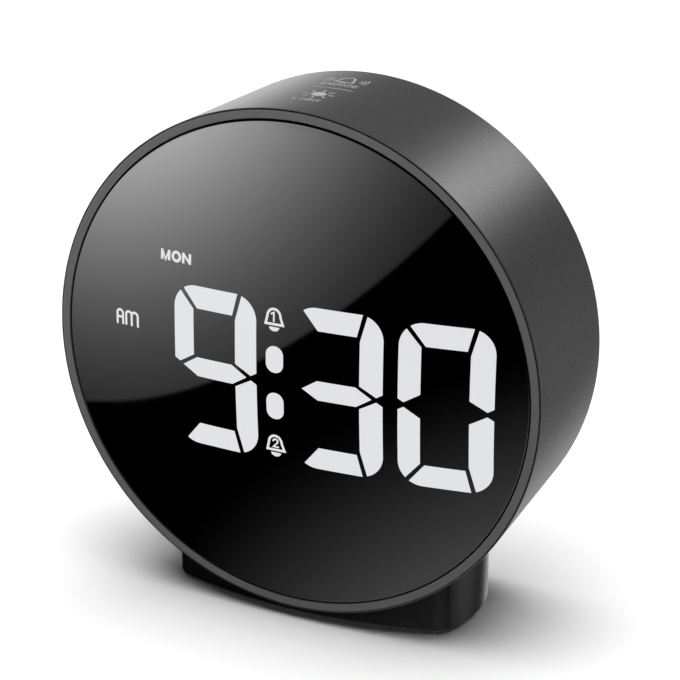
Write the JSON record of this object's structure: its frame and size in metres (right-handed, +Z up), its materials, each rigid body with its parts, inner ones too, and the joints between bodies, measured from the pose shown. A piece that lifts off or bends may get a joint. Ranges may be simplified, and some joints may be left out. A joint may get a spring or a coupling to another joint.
{
  "type": "alarm clock",
  "caption": "Round desk alarm clock: a plastic drum on a low foot, with a domed smoked display lens in front and push buttons, charging inlet and battery door behind.",
  "frame": {"origin": "on the table, under the middle of the clock's width and depth", "axes": "+Z up, the display faces -Y, +X to the viewer's right"},
  "size_m": [0.106, 0.0416, 0.109],
  "materials": {
    "housing_plastic": "satin moulded, fine spark texture",
    "bezel_plastic": "satin, brushed look",
    "smoked_lens": "polished smoked acrylic",
    "segment_light": "translucent white, lit from behind",
    "black_film": "printed black film",
    "white_plastic": "moulded white",
    "tape": "double-sided adhesive tape",
    "circuit_board": "green solder mask",
    "led": "clear yellowish resin",
    "chip_black": "epoxy",
    "capacitor_sleeve": "printed sleeve",
    "steel": "nickel plated",
    "cable_jacket": "flat ribbon",
    "red_wire": "insulation",
    "blue_wire": "insulation",
    "copper": "bare copper foil",
    "speaker_paper": "pressed paper cone",
    "battery_sleeve": "plain green sleeve",
    "cover_plastic": "satin moulded",
    "button_plastic": "matt moulded",
    "gloss_black": "glossy moulded",
    "base_plastic": "matt moulded",
    "pad_rubber": "soft rubber"
  },
  "bodies": {
    "clock": {"housing": "housing_plastic", "front_bezel": "bezel_plastic", "front_lens": "smoked_lens", "lens_adhesive": "tape", "light_mask": "black_film", "segment_diffusers": "segment_light", "reflector_block": "white_plastic", "display_pcb": "circuit_board", "display_leds": "led", "display_driver_chip": "chip_black", "display_screws": "steel", "ribbon_cable": "cable_jacket", "ribbon_sockets": "white_plastic", "main_pcb": "circuit_board", "clock_chip": "chip_black", "quartz_crystal": "steel", "capacitors": "capacitor_sleeve", "tact_switches": "chip_black", "usb_socket": "steel", "main_pcb_screws": "steel", "speaker_basket": "chip_black", "speaker_cone": "speaker_paper", "speaker_magnet": "steel", "speaker_wires": "red_wire", "touch_electrode": "copper", "touch_wire": "blue_wire", "rear_cover": "cover_plastic", "rear_cover_screws": "steel", "battery_cells": "battery_sleeve", "battery_contacts_left": "steel", "battery_contacts_right": "steel", "battery_springs": "steel", "foot": "gloss_black", "foot_base_plate": "base_plastic", "foot_pads": "pad_rubber", "foot_screws": "steel", "base_plate_screws": "steel"},
    "battery_door": {"battery_door": "cover_plastic"},
    "set_key": {"set_button": "button_plastic", "set_plunger": "chip_black"},
    "up_key": {"up_button": "button_plastic", "up_plunger": "chip_black"},
    "down_key": {"down_button": "button_plastic", "down_plunger": "chip_black"},
    "alarm_1_key": {"alarm_1_button": "button_plastic", "alarm_1_plunger": "chip_black"},
    "alarm_2_key": {"alarm_2_button": "button_plastic", "alarm_2_plunger": "chip_black"}
  },
  "joints": [
    {"name": "set_press", "type": "slide", "parent": "clock", "child": "set_key", "axis": [0, -1, 0], "range_m": [0, 0.0006], "stiffness_N_per_m": 2500, "springref_m": -0.0001},
    {"name": "up_press", "type": "slide", "parent": "clock", "child": "up_key", "axis": [0, -1, 0], "range_m": [0, 0.0006], "stiffness_N_per_m": 2500, "springref_m": -0.0001},
    {"name": "down_press", "type": "slide", "parent": "clock", "child": "down_key", "axis": [0, -1, 0], "range_m": [0, 0.0006], "stiffness_N_per_m": 2500, "springref_m": -0.0001},
    {"name": "alarm_1_press", "type": "slide", "parent": "clock", "child": "alarm_1_key", "axis": [0, -1, 0], "range_m": [0, 0.0006], "stiffness_N_per_m": 2500, "springref_m": -0.0001},
    {"name": "alarm_2_press", "type": "slide", "parent": "clock", "child": "alarm_2_key", "axis": [0, -1, 0], "range_m": [0, 0.0006], "stiffness_N_per_m": 2500, "springref_m": -0.0001},
    {"name": "battery_door_hinge", "type": "hinge", "parent": "clock", "child": "battery_door", "pos_m": [0, 0.01862, 0.0178], "axis": [-1, 0, 0], "range_deg": [0, 80]}
  ]
}
